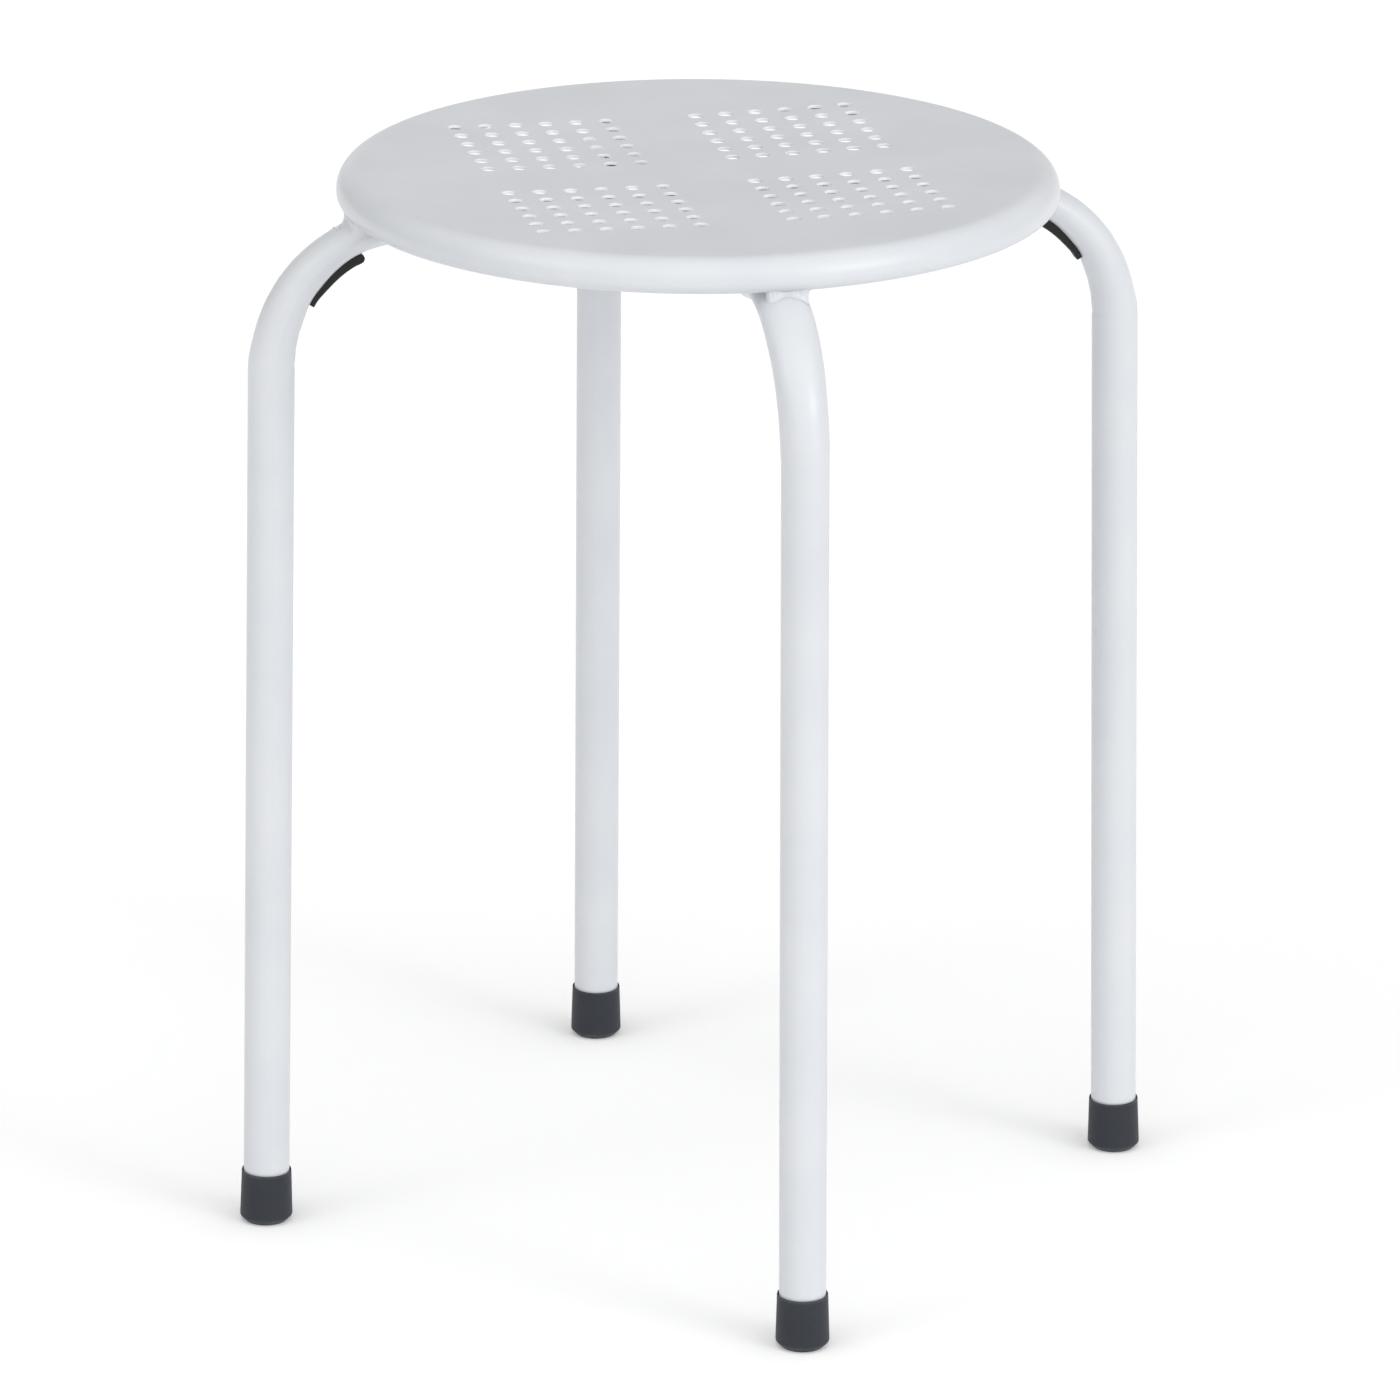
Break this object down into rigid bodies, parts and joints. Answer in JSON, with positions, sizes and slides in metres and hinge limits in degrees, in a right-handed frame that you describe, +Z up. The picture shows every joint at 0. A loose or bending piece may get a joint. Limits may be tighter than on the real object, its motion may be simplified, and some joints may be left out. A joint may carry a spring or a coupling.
{
  "type": "metal stool",
  "caption": "Round perforated steel seat with a rolled rim on bent round-tube legs, with push-on feet and stacking pads.",
  "frame": {"origin": "on the floor under the middle of the seat", "axes": "+Z up, legs on the +X (right), -X (left), -Y (front) and +Y (back) axes"},
  "size_m": [0.3972, 0.3972, 0.452],
  "materials": {
    "coated_steel": "satin light grey-white powder coat",
    "foot_rubber": "dull charcoal",
    "pad_plastic": "matte black"
  },
  "bodies": {
    "root": {"seat_pan": "coated_steel", "tube_left_right": "coated_steel", "tube_front": "coated_steel", "tube_back": "coated_steel", "centre_weld": "coated_steel", "rim_weld_front": "coated_steel", "rim_weld_right": "coated_steel", "rim_weld_back": "coated_steel", "rim_weld_left": "coated_steel", "foot_cap_front": "foot_rubber", "foot_cap_right": "foot_rubber", "foot_cap_back": "foot_rubber", "foot_cap_left": "foot_rubber", "stack_pad_front": "pad_plastic", "stack_pad_right": "pad_plastic", "stack_pad_back": "pad_plastic", "stack_pad_left": "pad_plastic"}
  },
  "joints": []
}
